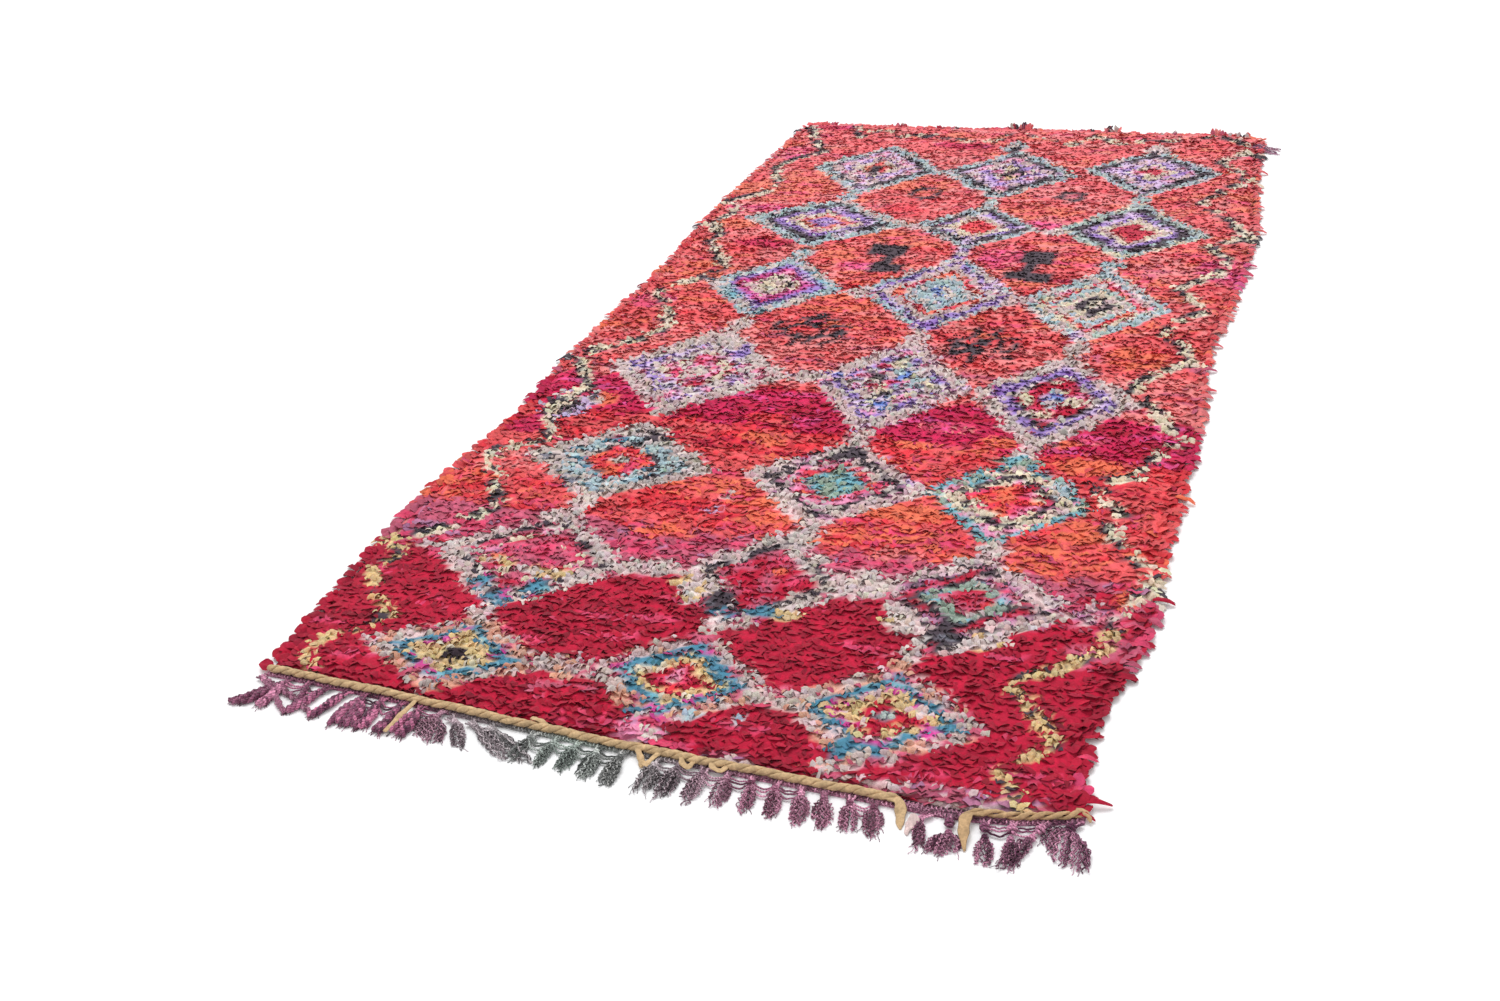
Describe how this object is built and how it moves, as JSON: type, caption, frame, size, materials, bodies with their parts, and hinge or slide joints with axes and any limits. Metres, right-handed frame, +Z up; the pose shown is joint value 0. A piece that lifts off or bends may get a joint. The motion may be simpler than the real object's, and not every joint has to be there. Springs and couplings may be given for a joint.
{
  "type": "boucherouite rug",
  "caption": "Long hand-knotted rag rug lying flat, with a thick uneven pile in rows of nested diamonds, a twisted cloth cord and knotted tassels at one end.",
  "frame": {"origin": "under the middle of the rug's nominal rectangle, on the flat underside that rests on the floor", "axes": "+Z up out of the pile, +Y along the rug away from its fringed end, +X to the right seen from the fringed end"},
  "size_m": [1.5261, 3.0982, 0.0276],
  "materials": {
    "rag_pile": "matt crumpled cotton and synthetic rag knots in reds, with beige, charcoal, teal, violet and pink diamonds",
    "warp_wool": "dry spun wool warp in mauve, plum and grey-green, knotted in bundles with frayed ends",
    "cord_cloth": "tan woven cotton strip twisted tightly into a cord",
    "cord_cloth_loose": "tan woven cotton strip in a looser two-strand twist",
    "corner_yarn": "frayed mauve wool yarn"
  },
  "bodies": {
    "root": {"rug_pile": "rag_pile", "near_fringe": "warp_wool", "edge_cord_long": "cord_cloth", "edge_cord_short": "cord_cloth_loose", "corner_tuft": "corner_yarn"}
  },
  "joints": []
}
